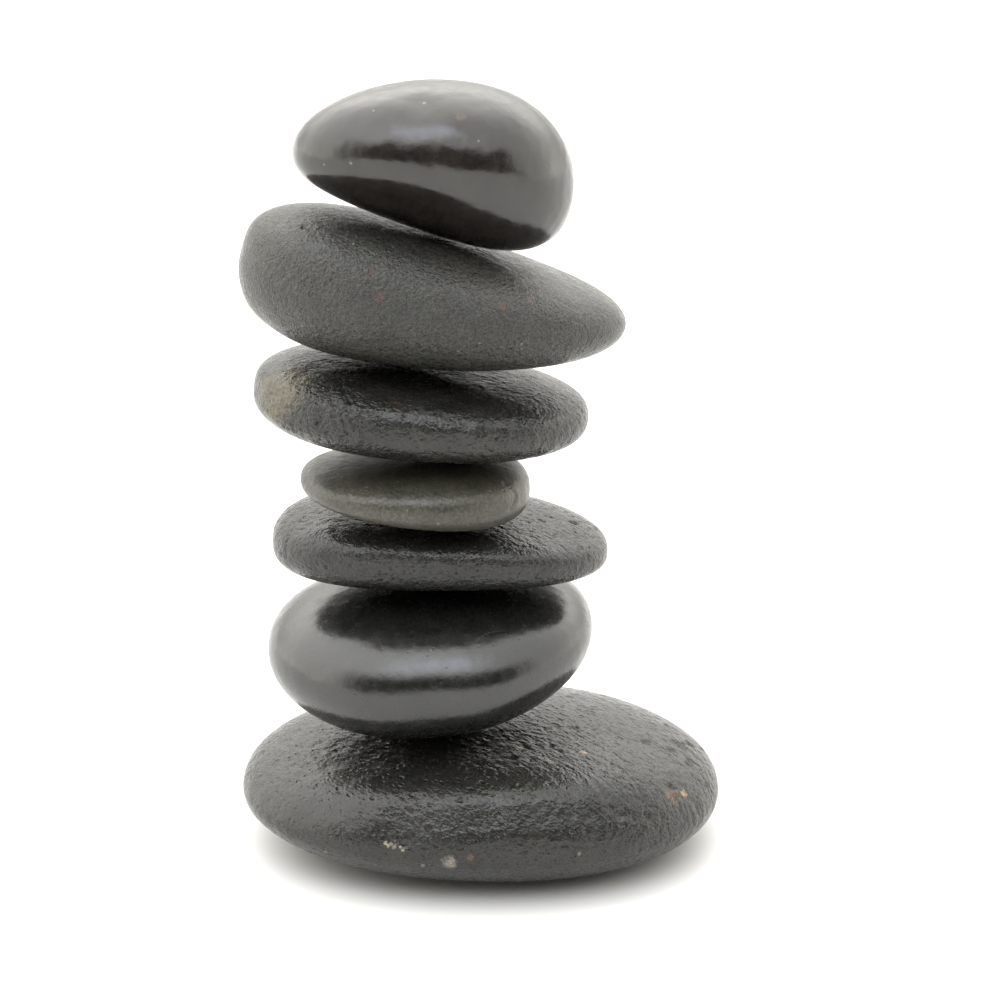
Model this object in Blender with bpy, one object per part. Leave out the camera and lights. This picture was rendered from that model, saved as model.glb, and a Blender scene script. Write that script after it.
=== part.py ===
"""Balanced stack of seven loose basalt massage stones.

Each stone is one solid, water-worn pebble that rests on the stone below it. +Z is up, -Y is the
stack's front and +X its right-hand side. The origin is on the surface the stack stands on, under
the middle of the whole stack's box. Stone sizes are given in millimetres and degrees.
"""
import math

import bmesh
import bpy
from mathutils import Euler, Matrix, Vector
from mathutils.bvhtree import BVHTree

MM = 0.001
REST_GAP = 0.3 * MM             # clearance left where one stone rests on another
START_HEIGHT = 400.0 * MM       # each stone is lowered onto the stack from here
FOOT_DEPTH = 3.5 * MM           # worn flat off the base stone's underside
FLAT_TOLERANCE = 0.01 * MM      # foot points this near the ground plane are set onto it
SPHERE_SUBDIVISIONS = 4         # 1280 triangles a stone
SMOOTH_ANGLE = 35.0             # only the foot's rim is sharper than this, in degrees
PLAN_POWER = 2.2                # 2 is a true oval seen from above, more is squarer

# The stones from the bottom up. Every stone has
#   size         its length, width and thickness before it is tilted
#   edge_power   2 is a round edge, more is a blunter one, less is a sharper one
#   top_heavy    how far the top stands above half the thickness, and the underside short of it
#   taper        how much thicker the right-hand end is than the middle, as a share
#   arch         how far both ends are lifted above the middle
#   tilt         right-hand end down, in degrees
#   pitch        back edge up, in degrees
#   place        its middle, to the right of and behind the base stone's middle
#   marks        broad swells and hollows: (bearing, elevation, spread, height), the first three in
#                degrees; bearing 0 is the right-hand end, 90 the back and -90 the front
#   colour       base colour, and roughness the surface's roughness
STONES = (
    dict(
        name="base_stone",
        size=(123.5, 93.0, 36.5), edge_power=2.0, top_heavy=-0.5, taper=0.08, arch=-0.5,
        tilt=0.75, pitch=0.0, place=(-0.25, 0.0),
        marks=(
            (150, 35, 22, 0.8), (60, 45, 25, 0.8), (110, -25, 22, -1),
            (-48, 36, 18, 2.2), (-72, 38, 18, 2.4), (-96, 38, 18, 2.4), (-118, 36, 16, 1.8),
        ),
        colour=(0.030, 0.031, 0.031), roughness=0.55,
    ),
    dict(
        name="polished_round_stone",
        size=(83.0, 76.0, 39.0), edge_power=2.05, top_heavy=-2.0, taper=-0.04, arch=1.5,
        tilt=-4.75, pitch=0.5, place=(-13.0, 0.0),
        marks=((100, 20, 30, -0.8), (45, -10, 24, 0.6), (-95, 36, 24, 0.3)),
        colour=(0.012, 0.013, 0.014), roughness=0.12,
    ),
    dict(
        name="pitted_flat_stone",
        size=(85.0, 56.0, 17.0), edge_power=2.85, top_heavy=-1.0, taper=-0.2, arch=-2.75,
        tilt=2.25, pitch=0.0, place=(-10.25, 1.5),
        marks=(
            (75, 10, 28, -0.8), (140, 15, 22, 0.7), (180, -82, 28, 1.2),
            (-55, 24, 24, 0.7), (-90, 26, 24, 0.8), (-125, 24, 24, 0.7),
        ),
        colour=(0.020, 0.020, 0.021), roughness=0.42,
    ),
    dict(
        name="small_oval_stone",
        size=(57.0, 51.0, 15.0), edge_power=2.55, top_heavy=0.25, taper=0.32, arch=0.0,
        tilt=3.25, pitch=-1.5, place=(-16.25, -6.5),
        marks=((95, 0, 30, -0.8), (160, 10, 25, 0.4)),
        colour=(0.050, 0.050, 0.043), roughness=0.5,
    ),
    dict(
        name="ochre_marked_stone",
        size=(83.5, 65.0, 20.5), edge_power=2.65, top_heavy=-1.25, taper=-0.12, arch=-0.25,
        tilt=6.0, pitch=-1.5, place=(-14.75, -1.5),
        marks=((-150, 10, 18, -0.8), (70, 5, 30, -0.9), (120, 20, 22, 0.7), (180, -85, 28, 0.8)),
        colour=(0.028, 0.028, 0.026), roughness=0.4,
    ),
    dict(
        name="long_wedge_stone",
        size=(96.0, 65.0, 31.0), edge_power=2.6, top_heavy=-1.5, taper=-0.36, arch=0.75,
        tilt=11.25, pitch=-5.0, place=(-11.75, -0.5),
        marks=((110, 15, 26, -1), (50, -10, 24, 0.8), (-60, -30, 24, 0.5), (0, -80, 30, 1.2)),
        colour=(0.045, 0.045, 0.042), roughness=0.6,
    ),
    dict(
        name="top_polished_stone",
        size=(69.0, 51.0, 36.5), edge_power=2.2, top_heavy=1.0, taper=0.25, arch=-3.5,
        tilt=11.75, pitch=-2.5, place=(-10.75, 1.5),
        marks=((120, 10, 28, -0.9), (60, 20, 24, 0.7), (-108, -32, 24, -2.5), (-80, -38, 22, -1.5)),
        colour=(0.020, 0.019, 0.018), roughness=0.18,
    ),
)


def clear_scene():
    """Remove every object of the scene."""
    for obj in list(bpy.data.objects):
        bpy.data.objects.remove(obj, do_unlink=True)


def direction(bearing, elevation):
    """Unit vector at a bearing and an elevation, both in degrees."""
    bearing, elevation = math.radians(bearing), math.radians(elevation)
    flat = math.cos(elevation)
    return Vector((flat * math.cos(bearing), flat * math.sin(bearing), math.sin(elevation)))


def pebble_point(ray, stone):
    """Where the pebble's surface lies along a unit vector, in the stone's own frame."""
    plan = (abs(ray.x) ** PLAN_POWER + abs(ray.y) ** PLAN_POWER) ** (1 / PLAN_POWER)
    edge = stone["edge_power"]
    unit = ray * (plan ** edge + abs(ray.z) ** edge) ** (-1 / edge)
    half_length, half_width, half_thickness = (0.5 * side for side in stone["size"])
    rise = unit.z * (half_thickness + stone["top_heavy"] * unit.z)
    point = Vector((
        half_length * unit.x,
        half_width * unit.y,
        rise * (1 + stone["taper"] * unit.x) + stone["arch"] * unit.x ** 2,
    ))
    outward = Vector((ray.x / half_length, ray.y / half_width, ray.z / half_thickness)).normalized()
    for bearing, elevation, spread, height in stone["marks"]:
        away = math.degrees(ray.angle(direction(bearing, elevation)))
        point += outward * height * math.exp(-(away / spread) ** 2)
    return point * MM


def pebble_mesh(stone):
    """The stone as a sphere pulled onto the pebble's surface, tilted but not yet placed."""
    shape = bmesh.new()
    bmesh.ops.create_icosphere(shape, subdivisions=SPHERE_SUBDIVISIONS, radius=1.0)
    turn = Euler((math.radians(stone["pitch"]), math.radians(stone["tilt"]), 0.0)).to_matrix()
    for vert in shape.verts:
        vert.co = turn @ pebble_point(vert.co.normalized(), stone)
    return shape


def cut_foot(shape):
    """Wear the underside flat and set the flat on the ground plane."""
    ground = min(vert.co.z for vert in shape.verts) + FOOT_DEPTH
    cut = bmesh.ops.bisect_plane(
        shape, geom=shape.verts[:] + shape.edges[:] + shape.faces[:],
        plane_co=(0.0, 0.0, ground), plane_no=(0.0, 0.0, -1.0), clear_outer=True,
    )
    rim = [item for item in cut["geom_cut"] if isinstance(item, bmesh.types.BMEdge)]
    bmesh.ops.holes_fill(shape, edges=rim)
    bmesh.ops.translate(shape, verts=shape.verts[:], vec=(0.0, 0.0, -ground))
    for vert in shape.verts:
        if abs(vert.co.z) < FLAT_TOLERANCE:
            vert.co.z = 0.0


def clearance(upper, lower):
    """Least vertical distance from a stone down to the one under it."""
    lower_tree = BVHTree.FromBMesh(lower)
    upper_tree = BVHTree.FromBMesh(upper)
    down, up = Vector((0.0, 0.0, -1.0)), Vector((0.0, 0.0, 1.0))
    falls = [lower_tree.ray_cast(vert.co, down)[3] for vert in upper.verts]
    falls += [upper_tree.ray_cast(vert.co, up)[3] for vert in lower.verts]
    return min(fall for fall in falls if fall is not None)


def rest_on(upper, lower):
    """Lower a stone until only the resting gap is left under it."""
    bmesh.ops.translate(upper, verts=upper.verts[:], vec=(0.0, 0.0, START_HEIGHT))
    drop = clearance(upper, lower) - REST_GAP
    bmesh.ops.translate(upper, verts=upper.verts[:], vec=(0.0, 0.0, -drop))


def stone_material(stone):
    """Plain basalt of the stone's colour and polish."""
    material = bpy.data.materials.new(stone["name"])
    material.use_nodes = True
    shader = material.node_tree.nodes["Principled BSDF"]
    shader.inputs["Base Color"].default_value = (*stone["colour"], 1.0)
    shader.inputs["Roughness"].default_value = stone["roughness"]
    shader.inputs["Metallic"].default_value = 0.0
    return material


def stack_shapes():
    """The seven stones' meshes, each resting on the one before it."""
    shapes = []
    for stone in STONES:
        shape = pebble_mesh(stone)
        right, back = stone["place"]
        bmesh.ops.translate(shape, verts=shape.verts[:], vec=(right * MM, back * MM, 0.0))
        if shapes:
            rest_on(shape, shapes[-1])
        else:
            cut_foot(shape)
        shapes.append(shape)
    return shapes


def middle_of(shapes):
    """Middle of the stack's box on the ground plane."""
    across = [vert.co.x for shape in shapes for vert in shape.verts]
    along = [vert.co.y for shape in shapes for vert in shape.verts]
    return Vector(((min(across) + max(across)) / 2, (min(along) + max(along)) / 2, 0.0))


def add_stone(stone, shape, shift):
    """Turn one mesh into a named object whose origin is the middle of the stone."""
    bmesh.ops.translate(shape, verts=shape.verts[:], vec=shift)
    heights = [vert.co.z for vert in shape.verts]
    right, back = stone["place"]
    middle = Vector((right * MM, back * MM, (min(heights) + max(heights)) / 2)) + shift
    bmesh.ops.transform(shape, verts=shape.verts[:], matrix=Matrix.Translation(-middle))
    bmesh.ops.recalc_face_normals(shape, faces=shape.faces[:])
    mesh = bpy.data.meshes.new(stone["name"])
    shape.to_mesh(mesh)
    shape.free()
    mesh.shade_smooth()
    mesh.set_sharp_from_angle(angle=math.radians(SMOOTH_ANGLE))
    mesh.materials.append(stone_material(stone))
    obj = bpy.data.objects.new(stone["name"], mesh)
    obj.location = middle
    bpy.context.scene.collection.objects.link(obj)


def build_stack():
    """Build the whole stack."""
    clear_scene()
    shapes = stack_shapes()
    shift = -middle_of(shapes)
    for stone, shape in zip(STONES, shapes):
        add_stone(stone, shape, shift)


build_stack()
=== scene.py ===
"""Looks for a balanced stack of basalt massage stones.

Each CAD stone is replaced by a smooth, finely divided pebble through the CAD stone's own points,
with swells, hollows and pits as real geometry and the grain and polish in its material.
Lengths are in metres unless a comment says otherwise, +Z is up and the stack's front is towards -Y.
A place on a stone is a bearing and an elevation in degrees as seen from its middle, after the
stone's box has been scaled to a cube: bearing 0 is the right-hand end, -90 the front.
"""
import math

import bpy
import numpy as np
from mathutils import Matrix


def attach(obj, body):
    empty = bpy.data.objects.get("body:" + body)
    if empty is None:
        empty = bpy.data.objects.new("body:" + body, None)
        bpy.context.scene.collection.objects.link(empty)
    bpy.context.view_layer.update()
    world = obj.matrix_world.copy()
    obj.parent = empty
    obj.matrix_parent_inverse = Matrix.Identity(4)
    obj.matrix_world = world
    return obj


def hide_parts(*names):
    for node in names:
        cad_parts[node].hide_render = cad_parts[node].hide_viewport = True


MM = 0.001
TINY = 1e-9

FACE_CUTS = 128                 # squares along each side of the six patches that cover a stone
HARMONIC_DEGREE = 12            # how closely the smooth surface follows the CAD stone's points
FOOT_LEVEL = 0.05 * MM          # points lower than this belong to the base stone's flat foot
FOOT_SHARE = 0.95               # share of the foot's oval in which every point is on the ground
RIDGE_STEPS = 24                # points along each stretch of a ridge
PIT_RADII = (0.5, 1.0)          # random pits, as shares of their field's radius
PIT_DEPTHS = (0.25, 0.5)        # depths of random pits, as shares of their own radius

NOISE_SPAN = (0.35, 0.65)       # the part of a noise's values that is stretched to its full effect
WIDE_SPAN = (0.3, 0.7)          # the same, for softer changes
CLOUD_SIZE = 9.0                # cloudy changes of colour, millimetres
SPECKLE_SIZE = 0.7              # light and dark specks of the rock, millimetres
SPECKLE_LIFT = 1.3              # how much stronger the light specks are than the dark ones
FINE_SIZE = 0.5                 # finest grain, millimetres
MIDDLING_SIZE = 1.5             # next coarser grain, millimetres
MIDDLING_GAIN = 1.4             # height of the coarser grain beside the finest
LUMP_SIZE = 2.4                 # lumps of the coarse zones, millimetres
RIPPLE_SIZE = 6.0               # shallow waves under the polish, millimetres
POLISH_SIZE = 2.5               # blobs of more and less polish, millimetres
PIT_SHADE = 0.6                 # how far a fine pit's colour goes to the painted shade colour of pits
DOT_CORE = 0.4                  # full part of a spot, as a share of its reach
STAIN_TONE_SIZE = 0.8           # lighter and darker places within a stain, millimetres
STAIN_TONES = (0.55, 1.3)
STAIN_RIM = (1.4, 0.6)          # a stain starts and is full at these shares of its radius
COARSE_RIM = (1.3, 0.5)
HAIR_RIM = (1.3, 0.7)
HAIR_WIDTH = 0.2 * MM

CAMERA_RIGHT = 5.0 * MM
CAMERA_BACK = 700.0 * MM
CAMERA_HEIGHT = 336.0 * MM
AIM_HEIGHT = 92.3 * MM
CAMERA_LENS = 105.9             # millimetres on the sensor below
CAMERA_SENSOR = 36.0
CAMERA_REACH = 50.0
FLOOR_HALF = 3.0
FLOOR_ROUGHNESS = 0.7
FLOOR_CLOUD_SIZE = 40.0         # millimetres
FLOOR_DARK = (0.72, 0.715, 0.70)
FLOOR_LIGHT = (0.74, 0.735, 0.72)

# The room's light, in directions as seen from the stack: bearing 0 is the camera's side, and all
# angles are in degrees. A REACH is how far from its middle a zone starts and is full, and a RISE is
# the elevations between which it fades in.
LOW_WHITE = (2.9, 2.85, 2.65)
HIGH_WHITE = (3.2, 3.18, 3.1)
HIGH_RISE = (11.5, 53.1)
BEHIND_WHITE = (1.3, 1.28, 1.22)  # low behind the stack
BEHIND_MIDDLE = (180, 0)
BEHIND_REACH = (65, 30)
BEHIND_RISE = (23.6, 6.9)
DARK = (0.08, 0.08, 0.08)       # low in front
DARK_MIDDLE = (4, 0)
DARK_REACH = (75, 42)
DARK_RISE = (44, 28)
DIM_SHARE = 0.35                # how far the right-hand side of the room goes to that dark
DIM_MIDDLE = (70, 35)
DIM_REACH = (60, 15)
WINDOW_LIGHT = (4.6, 4.75, 5.2)  # high in front
WINDOW_MIDDLE = (-2, 0)
WINDOW_REACH = (42, 12)
WINDOW_RISE = (40, 54)
WINDOW_FALL = (80, 62)
BACKDROP = (1.0, 1.0, 1.0)      # what the camera sees of the room

# painted shade: the near-black that the colour of the fine pits is darkened towards
PAINTED_SHADE_IN_PITS = (0.004, 0.004, 0.003)
OLIVE_FLECK = (0.13, 0.12, 0.085)
PALE_FLECK = (0.055, 0.052, 0.038)
RED_FLECK = (0.055, 0.028, 0.020)
DULL_RED = (0.060, 0.034, 0.025)
OCHRE = (0.075, 0.062, 0.034)
CREAM = (0.26, 0.24, 0.17)
DULL_CREAM = (0.17, 0.155, 0.13)
TAN = (0.25, 0.19, 0.14)
DULL_TAN = (0.2, 0.17, 0.13)
RUST = (0.085, 0.052, 0.033)
BRIGHT_RUST = (0.24, 0.16, 0.09)
BROWN = (0.05, 0.032, 0.02)
SCRATCH = (0.035, 0.035, 0.033)

# A look's entries, with sizes in millimetres and colours in linear light:
#   swells      (bearing, elevation, spread, height) of round swells, or hollows below zero
#   ridges      (places along it, width, height) of ridges, or grooves below zero
#   dents       (bearing, elevation, radius, depth) of single pits
#   pit_fields  (bearing, elevation, degrees around it, count, radius) of random pits
#   dark, light colours between which the rock clouds
#   speckle     strength of the light and dark specks
#   grain, fine height of the grain, and the finest grain's share of it
#   ripple      height of the shallow waves
#   flow        bearing along which grain, pits and lumps are drawn out, and how much
#   coarse      (bearing, elevation, radius, gain) of zones where the grain is higher
#   lumps       height of lumps in those zones
#   pits        (spacing, reach, share of places, depth) of fine pits, whose colour also gets painted shade
#   flecks      (spacing, reach, share of places, colour)
#   stains      (bearing, elevation, radius, raggedness, colour)
#   hairs       (place in the middle of a ring, ring radius, place on it, visible radius, colour)
#   roughness   least and most
PLAIN_LOOK = dict(
    swells=(), ridges=(), dents=(), pit_fields=(), speckle=0.35, fine=0.4, flow=(0.0, 1.0),
    coarse=(), lumps=0.0, stains=(), hairs=(),
)
STONES = (
    dict(
        node="base_stone", slot="pitted_charcoal_basalt", seed=7, ior=1.5,
        pit_fields=((-20, 50, 45, 22, 1.8), (-90, 0, 100, 14, 1.5)),
        dents=((-35, 19, 1.6, 0.5), (0, 30, 2.2, 0.6), (-10, 45, 1.6, 0.5)),
        dark=(0.013, 0.0128, 0.0112), light=(0.019, 0.0185, 0.016),
        grain=0.20, ripple=0.35, lumps=0.8, flow=(-50, 1.7),
        coarse=((-10, 50, 34, 1.4), (5, 0, 18, 0.8), (170, 40, 20, 0.8), (-100, 50, 20, 0.7)),
        pits=((2.0, 0.35, 0.35, 0.2), (1.0, 0.42, 0.35, 0.12)),
        flecks=((3.5, 0.2, 0.05, OLIVE_FLECK), (4.0, 0.2, 0.12, RED_FLECK)),
        stains=(
            (-112, 5, 0.5, 0.9, CREAM), (-111.4, 3, 0.5, 0.9, CREAM), (-110.2, 4.5, 0.4, 0.9, CREAM),
            (-109.4, 2.6, 0.5, 1.0, CREAM), (-108.2, 2.4, 0.4, 0.8, CREAM), (-107.8, 0.6, 0.4, 0.7, CREAM),
            (-97, -9, 1.7, 1.6, DULL_CREAM), (-92, -4, 0.8, 0.8, RUST), (-44, 57, 1.1, 1.0, TAN),
            (-63, 53, 0.5, 0.3, RUST), (-67, 66, 1.0, 1.2, DULL_TAN),
            (-35, 21, 2.2, 3.0, RUST), (-30, 18, 1.0, 1.5, BRIGHT_RUST),
        ),
        roughness=(0.17, 0.31),
    ),
    dict(
        node="polished_round_stone", slot="polished_black_basalt", seed=6, ior=1.7,
        swells=((-108, -14, 12, 0.9), (-70, -8, 12, 1.1)),
        pit_fields=((-90, 0, 80, 8, 0.5),),
        dark=(0.005, 0.005, 0.0045), light=(0.008, 0.008, 0.007), grain=0.03, ripple=0.2,
        pits=((1.6, 0.25, 0.06, 0.04),), flecks=((4.0, 0.15, 0.02, OLIVE_FLECK),),
        hairs=(((-62, 24), 9.5, (-64, 47), 5.5, SCRATCH),),
        roughness=(0.21, 0.29),
    ),
    dict(
        node="pitted_flat_stone", slot="pitted_black_basalt", seed=5, ior=1.5,
        pit_fields=((-20, 45, 50, 90, 0.8), (170, 20, 40, 40, 0.8)),
        dents=((6, 24, 1.6, 1.0), (164, 29, 1.5, 0.8), (150, 35, 1.2, 0.7)),
        dark=(0.010, 0.0098, 0.0086), light=(0.016, 0.0157, 0.0135),
        grain=0.34, ripple=0.4, lumps=0.5, flow=(-40, 1.4),
        coarse=((0, 45, 18, 1.0), (175, 25, 14, 1.0)),
        pits=((1.6, 0.35, 0.3, 0.15), (0.9, 0.4, 0.3, 0.1)), flecks=((4.0, 0.2, 0.04, OLIVE_FLECK),),
        roughness=(0.16, 0.30),
    ),
    dict(
        node="small_oval_stone", slot="matte_olive_basalt", seed=4, ior=1.5,
        ridges=((((-33, 32), (-30, 12), (-36, -8)), 0.6, -0.35),),
        pit_fields=((-90, 0, 80, 8, 0.5),),
        dark=(0.040, 0.0385, 0.030), light=(0.056, 0.0535, 0.041), grain=0.13, ripple=0.2,
        pits=((1.3, 0.25, 0.1, 0.05),), flecks=((2.5, 0.2, 0.08, OLIVE_FLECK),),
        roughness=(0.30, 0.42),
    ),
    dict(
        node="ochre_marked_stone", slot="ochre_marked_basalt", seed=3, ior=1.5,
        pit_fields=((-128, 20, 26, 60, 0.8), (-60, 0, 60, 30, 0.6)),
        dark=(0.010, 0.0098, 0.0084), light=(0.017, 0.0166, 0.014), grain=0.34, ripple=0.7, lumps=0.5,
        coarse=((-125, 20, 14, 1.0), (-30, 0, 16, 0.6)),
        pits=((1.5, 0.35, 0.3, 0.14),), flecks=((4.0, 0.2, 0.05, RED_FLECK),),
        stains=((-149, 38, 7.5, 5.0, OCHRE), (-150, 15, 4.0, 4.0, OCHRE)),
        roughness=(0.18, 0.32),
    ),
    dict(
        node="long_wedge_stone", slot="matte_grey_basalt", seed=2, ior=1.5,
        pit_fields=((-90, 0, 85, 40, 0.6),), dents=((-143, 49, 1.0, 0.6), (170, 20, 1.0, 0.4)),
        dark=(0.022, 0.0218, 0.0188), light=(0.029, 0.0285, 0.0243), speckle=0.5,
        grain=0.36, fine=1.0, ripple=0.3, lumps=0.25,
        coarse=((-110, -25, 22, 0.6), (-60, -30, 20, 0.4)),
        pits=((1.2, 0.35, 0.25, 0.1), (0.7, 0.4, 0.3, 0.08)),
        flecks=((1.1, 0.3, 0.1, PALE_FLECK), (2.5, 0.17, 0.1, OLIVE_FLECK), (6.0, 0.2, 0.1, RED_FLECK)),
        stains=(
            (-108, 30, 1.1, 1.2, DULL_RED), (-104, 15, 1.1, 1.3, DULL_RED), (-68, 7, 0.9, 1.0, DULL_RED),
        ),
        roughness=(0.20, 0.34),
    ),
    dict(
        node="top_polished_stone", slot="polished_brown_black_basalt", seed=1, ior=1.65,
        swells=((-98, 52, 4, -0.5), (-112, 48, 5, 0.4), (-80, 40, 5, 0.35)),
        ridges=(
            (((-140, 36), (-112, 42), (-86, 43), (-60, 30)), 12.0, 1.6),
            (((-150, 8), (-115, 15), (-86, 15), (-60, 4), (-48, -3)), 6.0, 0.5),
        ),
        pit_fields=((-90, 0, 80, 6, 0.5),),
        dark=(0.009, 0.0074, 0.006), light=(0.015, 0.0125, 0.010), grain=0.02, ripple=0.3,
        pits=((1.8, 0.25, 0.04, 0.04),), flecks=((3.5, 0.17, 0.02, OLIVE_FLECK),),
        stains=(
            (-76, 43, 1.1, 2.0, BROWN), (-121, 45, 0.3, 0.3, OLIVE_FLECK),
            (-95, 55, 0.5, 0.8, OLIVE_FLECK), (-122, 15, 0.4, 0.3, OLIVE_FLECK),
            (-135, 12, 0.3, 0.3, OLIVE_FLECK), (-70, 28, 0.3, 0.3, OLIVE_FLECK),
        ),
        roughness=(0.16, 0.25),
    ),
)


# ---------------------------------------------------------------- stone shapes

def patch_grid():
    """Unit directions and square faces of a sphere made of six patches that share their edges."""
    steps = np.tan(np.linspace(-math.pi / 4, math.pi / 4, FACE_CUTS + 1))
    across, along = (grid.ravel() for grid in np.meshgrid(steps, steps, indexing="ij"))
    ones = np.ones_like(across)
    sides = [
        (ones, across, along), (-ones, along, across), (along, ones, across),
        (across, -ones, along), (across, along, ones), (along, across, -ones),
    ]
    points = np.concatenate([np.stack(side, axis=1) for side in sides])
    row = FACE_CUTS + 1
    corner = (np.arange(FACE_CUTS)[:, None] * row + np.arange(FACE_CUTS)[None, :]).ravel()
    square = np.stack([corner, corner + row, corner + row + 1, corner + 1], axis=1)
    faces = np.concatenate([square + side * row * row for side in range(len(sides))])
    _, first, merged = np.unique(np.round(points, 6), axis=0, return_index=True, return_inverse=True)
    points = points[first]
    return points / np.linalg.norm(points, axis=1, keepdims=True), merged.ravel()[faces]


def harmonics(rays):
    """Every product of powers of x, y and z whose degree is the harmonic degree or one less."""
    powers = [np.ones_like(rays)]
    for _ in range(HARMONIC_DEGREE):
        powers.append(powers[-1] * rays)
    columns = []
    for degree in (HARMONIC_DEGREE, HARMONIC_DEGREE - 1):
        for i in range(degree + 1):
            for j in range(degree + 1 - i):
                columns.append(powers[i][:, 0] * powers[j][:, 1] * powers[degree - i - j][:, 2])
    return np.stack(columns, axis=1)


def cad_points(part):
    """A CAD stone's own points, one row each."""
    points = np.zeros(len(part.data.vertices) * 3)
    part.data.vertices.foreach_get("co", points)
    return points.reshape(-1, 3)


def smooth_points(part, rays):
    """Points of a smooth closed surface through a CAD stone's points, one along each ray."""
    points = cad_points(part)
    low, high = points.min(axis=0), points.max(axis=0)
    middle, half = (low + high) / 2, (high - low) / 2
    on_foot = points[:, 2] < FOOT_LEVEL
    scaled = (points[~on_foot] - middle) / half
    reach = np.linalg.norm(scaled, axis=1, keepdims=True)
    weights, *_ = np.linalg.lstsq(harmonics(scaled / reach), reach, rcond=TINY)
    reach = harmonics(rays) @ weights
    if on_foot.any():
        reach = flatten_foot(points[on_foot], rays, middle, half, reach)
    return middle + half * rays * reach


def flatten_foot(foot, rays, middle, half, reach):
    """Stop the rays at the ground, and take those that point into the foot all the way down."""
    fall = np.maximum(-rays[:, 2:] * half[2], TINY)
    ground = middle[2] / fall
    landing = (middle + half * rays * ground)[:, :2]
    low, high = foot[:, :2].min(axis=0), foot[:, :2].max(axis=0)
    offset = (landing - (low + high) / 2) / ((high - low) / 2)
    inside = (np.linalg.norm(offset, axis=1, keepdims=True) < FOOT_SHARE) & (rays[:, 2:] < 0)
    return np.where(inside, ground, np.minimum(reach, ground))


def cosine(degrees):
    return math.cos(math.radians(degrees))


def sine(degrees):
    return math.sin(math.radians(degrees))


def direction(bearing, elevation):
    """Unit vector at a bearing and an elevation, both in degrees."""
    flat = cosine(elevation)
    return np.array((flat * cosine(bearing), flat * sine(bearing), sine(elevation)))


def outward(points, squares):
    """Unit normal of the surface at each of its points."""
    corners = points[squares]
    normals = np.cross(corners[:, 2] - corners[:, 0], corners[:, 3] - corners[:, 1])
    total = np.zeros_like(points)
    for corner in range(4):
        np.add.at(total, squares[:, corner], normals)
    return total / np.linalg.norm(total, axis=1, keepdims=True)


def hump(away, width, height):
    """Height of a smooth hump, or hollow when the height is negative, at each distance from it."""
    return height * np.exp(-(away / width) ** 2)


def pit(away, radius, depth):
    """Height of a small pit with a rounded rim at each distance from its middle, below zero."""
    return -depth * np.clip(1 - (away / radius) ** 2, 0, None) ** 1.5


class Surface:
    """A stone's surface: one point along each ray out from the stone's middle."""

    def __init__(self, rays, points):
        self.rays = rays
        self.points = points

    def spot(self, bearing, elevation):
        """The surface point that lies towards a bearing and an elevation."""
        return self.points[np.argmax(self.rays @ direction(bearing, elevation))]

    def away(self, point):
        """Distance of every surface point from one point."""
        return np.linalg.norm(self.points - point, axis=1)

    def away_from_line(self, line):
        """Distance of every surface point from a line through several places."""
        away = np.full(len(self.points), np.inf)
        for start, end in zip(line, line[1:]):
            for share in np.linspace(0, 1, RIDGE_STEPS):
                place = [a + (b - a) * share for a, b in zip(start, end)]
                away = np.minimum(away, self.away(self.spot(*place)))
        return away


def random_pits(look, surface):
    """Height of the stone's fields of random pits at every surface point."""
    draw = np.random.default_rng(look["seed"])
    height = np.zeros(len(surface.points))
    for bearing, elevation, around, count, radius in look["pit_fields"]:
        middle = direction(bearing, elevation)
        field = np.flatnonzero(surface.rays @ middle > cosine(around))
        for place in draw.choice(field, count):
            size = radius * MM * draw.uniform(*PIT_RADII)
            height += pit(surface.away(surface.points[place]), size, size * draw.uniform(*PIT_DEPTHS))
    return height


def shape_stone(look, part, rays, squares):
    """The stone's finished surface: the smooth one with its swells, ridges and pits."""
    surface = Surface(rays, smooth_points(part, rays))
    normals = outward(surface.points, squares)
    height = random_pits(look, surface)
    for bearing, elevation, spread, rise in look["swells"]:
        height += hump(surface.away(surface.spot(bearing, elevation)), spread * MM, rise * MM)
    for line, width, rise in look["ridges"]:
        height += hump(surface.away_from_line(line), width * MM, rise * MM)
    for bearing, elevation, radius, depth in look["dents"]:
        height += pit(surface.away(surface.spot(bearing, elevation)), radius * MM, depth * MM)
    height[surface.points[:, 2] < FOOT_LEVEL] = 0.0
    surface.points += normals * height[:, None]
    surface.points[:, 2] = np.maximum(surface.points[:, 2], 0.0)
    return surface


def add_piece(name, points, faces, material):
    """One smooth-shaded mesh object."""
    mesh = bpy.data.meshes.new(name)
    mesh.from_pydata(points.tolist(), [], faces.tolist())
    mesh.shade_smooth()
    mesh.materials.append(material)
    piece = bpy.data.objects.new(name, mesh)
    bpy.context.scene.collection.objects.link(piece)
    return piece


# ---------------------------------------------------------------- materials

def rgba(colour):
    return (*colour, 1.0)


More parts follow.
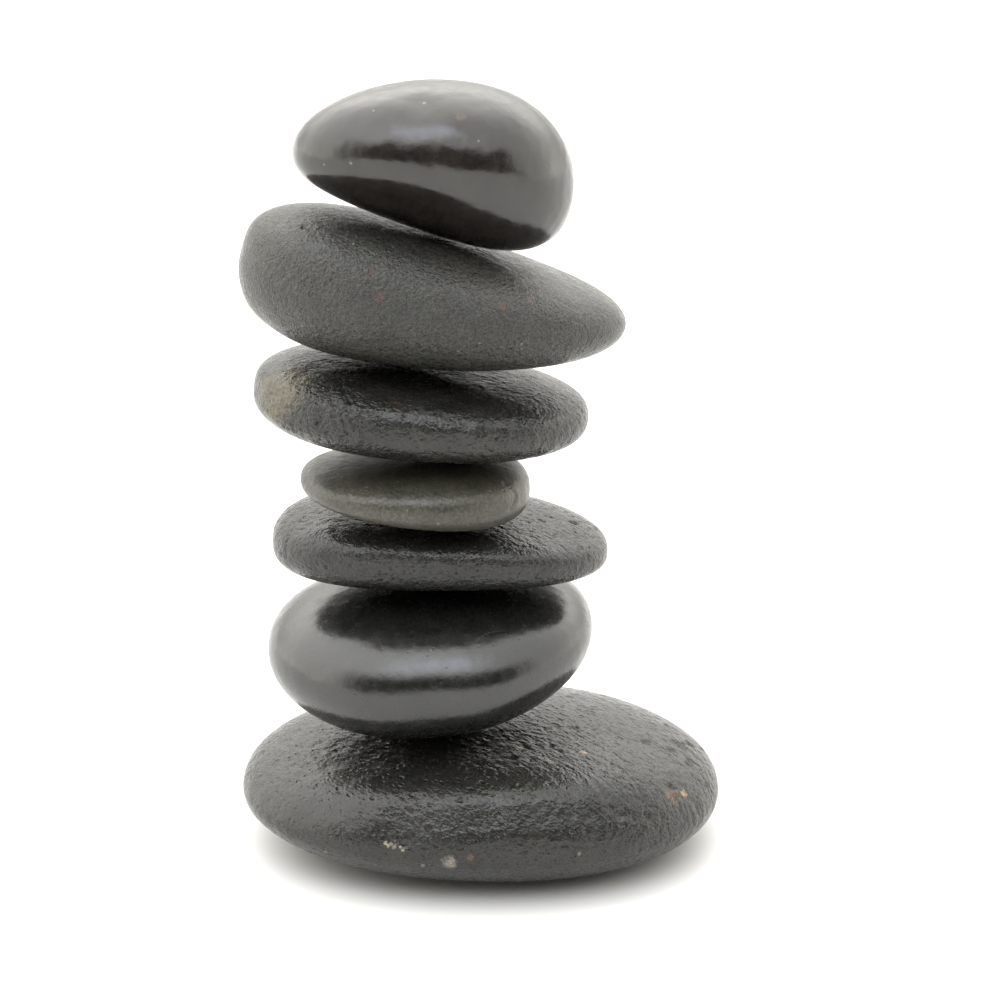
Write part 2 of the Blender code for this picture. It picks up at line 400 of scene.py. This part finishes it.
class Nodes:
    """Short-hand for building a node tree: each call adds one node and returns its output."""

    def __init__(self, tree):
        self.tree = tree

    def add(self, kind, inputs=None, output=0, **settings):
        node = self.tree.nodes.new(kind)
        for name, value in settings.items():
            setattr(node, name, value)
        for name, value in (inputs or {}).items():
            socket = node.inputs[name]
            if isinstance(value, bpy.types.NodeSocket):
                self.tree.links.new(value, socket)
            else:
                socket.default_value = value
        return node.outputs[output]

    def math(self, operation, first, second=0.0):
        return self.add("ShaderNodeMath", {0: first, 1: second}, operation=operation)

    def plus(self, first, second):
        return self.math("ADD", first, second)

    def times(self, first, second):
        return self.math("MULTIPLY", first, second)

    def vector(self, operation, first, second=(0.0, 0.0, 0.0)):
        output = "Value" if operation in ("DISTANCE", "DOT_PRODUCT") else "Vector"
        return self.add("ShaderNodeVectorMath", {0: first, 1: second}, output, operation=operation)

    def scaled(self, vector, factor):
        return self.add("ShaderNodeVectorMath", {0: vector, "Scale": factor}, operation="SCALE")

    def away(self, place, point):
        """Distance from a fixed point."""
        return self.vector("DISTANCE", place, tuple(point))

    def ramp(self, value, start, end, low=0.0, high=1.0):
        """Smooth step from `low` at `start` to `high` at `end`, which may lie either way round."""
        inputs = {"Value": value, 1: start, 2: end, 3: low, 4: high}
        return self.add("ShaderNodeMapRange", inputs, interpolation_type="SMOOTHSTEP")

    def mix(self, factor, first, second):
        """A colour between two others."""
        inputs = {"Factor": factor, 6: first, 7: second}
        return self.add("ShaderNodeMix", inputs, output=2, data_type="RGBA")

    def within(self, away, radius, rim):
        """1 near a point, fading to 0 between two shares of a radius in millimetres."""
        start, full = rim
        return self.ramp(away, radius * start * MM, radius * full * MM)

    def noise(self, place, size, detail=3.0, rough=0.55):
        """Soft cloudy noise around 0.5 whose blobs are about `size` millimetres across."""
        inputs = {"Vector": place, "Scale": 1 / (size * MM), "Detail": detail, "Roughness": rough}
        return self.add("ShaderNodeTexNoise", inputs, output="Fac")

    def wander(self, place, size, detail, rough=0.55):
        """The same noise around zero."""
        return self.math("SUBTRACT", self.noise(place, size, detail, rough), 0.5)

    def dots(self, place, size, reach, share):
        """Round spots, one in each cell of `size` millimetres in the given share of the cells."""
        inputs = {"Vector": place, "Scale": 1 / (size * MM)}
        near = self.add("ShaderNodeTexVoronoi", inputs, output="Distance")
        lot = self.add("ShaderNodeSeparateColor", {0: near.node.outputs["Color"]})
        chosen = self.math("LESS_THAN", lot, share)
        return self.times(self.ramp(near, reach, reach * DOT_CORE), chosen)


def stain_area(nodes, place, centre, radius, ragged):
    """A soft patch of the given radius in millimetres whose edge wanders by `ragged`."""
    wander = nodes.wander(place, max(radius * 0.7, 0.5), detail=5.0, rough=0.7)
    away = nodes.plus(nodes.away(place, centre), nodes.times(wander, 2 * ragged * MM))
    return nodes.within(away, radius, STAIN_RIM)


def coarse_area(nodes, place, centre, radius):
    """A wide soft-edged zone of the given radius in millimetres."""
    wander = nodes.wander(place, radius * 0.4, detail=3.0)
    away = nodes.plus(nodes.away(place, centre), nodes.times(wander, radius * 0.8 * MM))
    return nodes.within(away, radius, COARSE_RIM)


def hair_area(nodes, place, middle, reach, centre, radius):
    """A fine arc: the part of a ring around `middle` that lies near `centre`."""
    off = nodes.math("SUBTRACT", nodes.away(place, middle), reach * MM)
    line = nodes.ramp(nodes.math("ABSOLUTE", off), HAIR_WIDTH, 0.0)
    return nodes.times(line, nodes.within(nodes.away(place, centre), radius, HAIR_RIM))


def drawn_out(nodes, place, bearing, stretch):
    """Coordinates in which patterns come out longer along one level bearing."""
    turn = (0.0, 0.0, math.radians(bearing))
    inputs = {"Vector": place, "Rotation": turn, "Scale": (stretch, 1.0, 1.0)}
    return nodes.add("ShaderNodeMapping", inputs, vector_type="TEXTURE")


def stone_colour(nodes, place, holes, look, surface):
    """Clouded and speckled rock with painted shade in its fine pits, and with flecks, stains and hairs."""
    cloud = nodes.ramp(nodes.noise(place, CLOUD_SIZE), *NOISE_SPAN)
    colour = nodes.mix(cloud, rgba(look["dark"]), rgba(look["light"]))
    shade = nodes.noise(place, SPECKLE_SIZE, detail=4.0, rough=0.7)
    darkest, lightest = 1 - look["speckle"], 1 + SPECKLE_LIFT * look["speckle"]
    shade = nodes.ramp(shade, *NOISE_SPAN, darkest, lightest)
    colour = nodes.scaled(colour, shade)
    # painted shade: the colour in each fine pit is darkened towards the near-black pit shade
    for hole, _ in holes:
        colour = nodes.mix(nodes.times(hole, PIT_SHADE), colour, rgba(PAINTED_SHADE_IN_PITS))
    for size, reach, share, fleck in look["flecks"]:
        colour = nodes.mix(nodes.dots(place, size, reach, share), colour, rgba(fleck))
    for bearing, elevation, radius, ragged, tint in look["stains"]:
        area = stain_area(nodes, place, surface.spot(bearing, elevation), radius, ragged)
        tone = nodes.ramp(nodes.noise(place, STAIN_TONE_SIZE), *NOISE_SPAN, *STAIN_TONES)
        colour = nodes.mix(area, colour, nodes.scaled(tint, tone))
    for middle, reach, centre, radius, tint in look["hairs"]:
        area = hair_area(nodes, place, surface.spot(*middle), reach, surface.spot(*centre), radius)
        colour = nodes.mix(area, colour, rgba(tint))
    return colour


def stone_relief(nodes, place, drawn, holes, look, surface):
    """Height in millimetres of the grain, fine pits, lumps and ripples."""
    coarse = 0.0
    for bearing, elevation, radius, gain in look["coarse"]:
        area = coarse_area(nodes, place, surface.spot(bearing, elevation), radius)
        coarse = nodes.plus(nodes.times(area, gain), coarse)
    fine = nodes.times(nodes.noise(place, FINE_SIZE, detail=2.0), look["fine"])
    middling = nodes.times(nodes.noise(drawn, MIDDLING_SIZE, detail=2.0), MIDDLING_GAIN)
    height = nodes.times(nodes.plus(fine, middling), look["grain"])
    for hole, depth in holes:
        height = nodes.math("SUBTRACT", height, nodes.times(hole, depth))
    height = nodes.times(height, nodes.plus(coarse, 1.0))
    lumps = nodes.times(nodes.noise(drawn, LUMP_SIZE, detail=2.0), coarse)
    height = nodes.plus(height, nodes.times(lumps, look["lumps"]))
    return nodes.plus(height, nodes.times(nodes.noise(place, RIPPLE_SIZE, detail=1.0), look["ripple"]))


def stone_material(look, surface):
    """Basalt with cloudy colour, grain, pits and flecks, and uneven polish."""
    material, nodes, shader = new_material(look["slot"])
    place = nodes.add("ShaderNodeTexCoord", output="Object")
    drawn = drawn_out(nodes, place, *look["flow"])
    holes = [(nodes.dots(drawn, *spacing), depth) for *spacing, depth in look["pits"]]
    colour = stone_colour(nodes, place, holes, look, surface)
    height = stone_relief(nodes, place, drawn, holes, look, surface)
    bump = nodes.add("ShaderNodeBump", {"Height": height, "Strength": 1.0, "Distance": MM})
    polish = nodes.noise(place, POLISH_SIZE, detail=4.0)
    polish = nodes.ramp(polish, *WIDE_SPAN, *look["roughness"])
    nodes.tree.links.new(colour, shader.inputs["Base Color"])
    nodes.tree.links.new(polish, shader.inputs["Roughness"])
    nodes.tree.links.new(bump, shader.inputs["Normal"])
    shader.inputs["IOR"].default_value = look["ior"]
    return material


def new_material(name):
    """An empty Principled material, its node short-hand and its shader."""
    material = bpy.data.materials.new(name)
    material.use_nodes = True
    return material, Nodes(material.node_tree), material.node_tree.nodes["Principled BSDF"]


def build_stone(look, part, rays, squares):
    """Replace one CAD stone by its finished pebble."""
    look = PLAIN_LOOK | look
    surface = shape_stone(look, part, rays, squares)
    material = stone_material(look, surface)
    piece = add_piece(look["node"] + "_pebble", surface.points, squares, material)
    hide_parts(look["node"])
    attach(piece, look["node"])


# ---------------------------------------------------------------- surroundings

def add_floor():
    """Plain pale matte floor."""
    material, nodes, shader = new_material("pale_floor")
    place = nodes.add("ShaderNodeTexCoord", output="Object")
    colour = nodes.mix(nodes.noise(place, FLOOR_CLOUD_SIZE), rgba(FLOOR_DARK), rgba(FLOOR_LIGHT))
    nodes.tree.links.new(colour, shader.inputs["Base Color"])
    shader.inputs["Roughness"].default_value = FLOOR_ROUGHNESS
    side = FLOOR_HALF
    corners = np.array([(-side, -side, 0), (side, -side, 0), (side, side, 0), (-side, side, 0)])
    floor = add_piece("floor", corners, np.array([[0, 1, 2, 3]]), material)


def facing(nodes, way, middle, reach, most=1.0):
    """A round zone of directions around its middle."""
    bearing, elevation = middle
    toward = nodes.vector("DOT_PRODUCT", way, tuple(direction(bearing - 90, elevation)))
    start, full = reach
    return nodes.ramp(toward, cosine(start), cosine(full), 0.0, most)


def rising(nodes, up, elevations):
    """A zone of elevations that fades in from the first to the second."""
    start, full = elevations
    return nodes.ramp(up, sine(start), sine(full))


def add_world():
    """White room all round, dark low down in front of the stack, with a soft window above it."""
    world = bpy.data.worlds.new("studio")
    bpy.context.scene.world = world
    world.use_nodes = True
    nodes = Nodes(world.node_tree)
    way = nodes.add("ShaderNodeTexCoord", output="Generated")
    up = nodes.add("ShaderNodeSeparateXYZ", {0: way}, output="Z")
    level = nodes.vector("NORMALIZE", nodes.vector("MULTIPLY", way, (1.0, 1.0, 0.0)))
    white = nodes.mix(rising(nodes, up, HIGH_RISE), rgba(LOW_WHITE), rgba(HIGH_WHITE))
    behind = facing(nodes, level, BEHIND_MIDDLE, BEHIND_REACH)
    behind = nodes.times(behind, rising(nodes, up, BEHIND_RISE))
    white = nodes.mix(behind, white, rgba(BEHIND_WHITE))
    dark = facing(nodes, level, DARK_MIDDLE, DARK_REACH)
    dark = nodes.times(dark, rising(nodes, up, DARK_RISE))
    dim = facing(nodes, way, DIM_MIDDLE, DIM_REACH, DIM_SHARE)
    room = nodes.mix(nodes.math("MAXIMUM", dark, dim), white, rgba(DARK))
    window = nodes.times(rising(nodes, up, WINDOW_RISE), rising(nodes, up, WINDOW_FALL))
    window = nodes.times(facing(nodes, level, WINDOW_MIDDLE, WINDOW_REACH), window)
    room = nodes.mix(window, room, rgba(WINDOW_LIGHT))
    seen = nodes.add("ShaderNodeLightPath", output="Is Camera Ray")
    colour = nodes.mix(seen, room, rgba(BACKDROP))
    nodes.tree.links.new(colour, world.node_tree.nodes["Background"].inputs["Color"])


def add_camera():
    """Camera in front of the stack, looking down onto it."""
    camera = bpy.data.cameras.new("camera")
    camera.lens = CAMERA_LENS
    camera.sensor_width = CAMERA_SENSOR
    camera.clip_end = CAMERA_REACH
    eye = bpy.data.objects.new("camera", camera)
    eye.location = (CAMERA_RIGHT, -CAMERA_BACK, CAMERA_HEIGHT)
    fall = math.atan2(CAMERA_HEIGHT - AIM_HEIGHT, CAMERA_BACK)
    eye.rotation_euler = (math.pi / 2 - fall, 0.0, 0.0)
    bpy.context.scene.collection.objects.link(eye)
    bpy.context.scene.camera = eye
    bpy.context.scene.view_settings.view_transform = "Standard"


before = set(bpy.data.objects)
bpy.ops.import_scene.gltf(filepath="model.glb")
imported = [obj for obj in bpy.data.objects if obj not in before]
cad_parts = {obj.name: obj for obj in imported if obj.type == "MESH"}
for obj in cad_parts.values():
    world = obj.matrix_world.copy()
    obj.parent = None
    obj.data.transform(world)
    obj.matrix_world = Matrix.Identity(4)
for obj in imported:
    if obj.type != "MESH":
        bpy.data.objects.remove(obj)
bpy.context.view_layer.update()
rays, squares = patch_grid()
for stone in STONES:
    build_stone(stone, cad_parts[stone["node"]], rays, squares)
add_floor()
add_world()
add_camera()
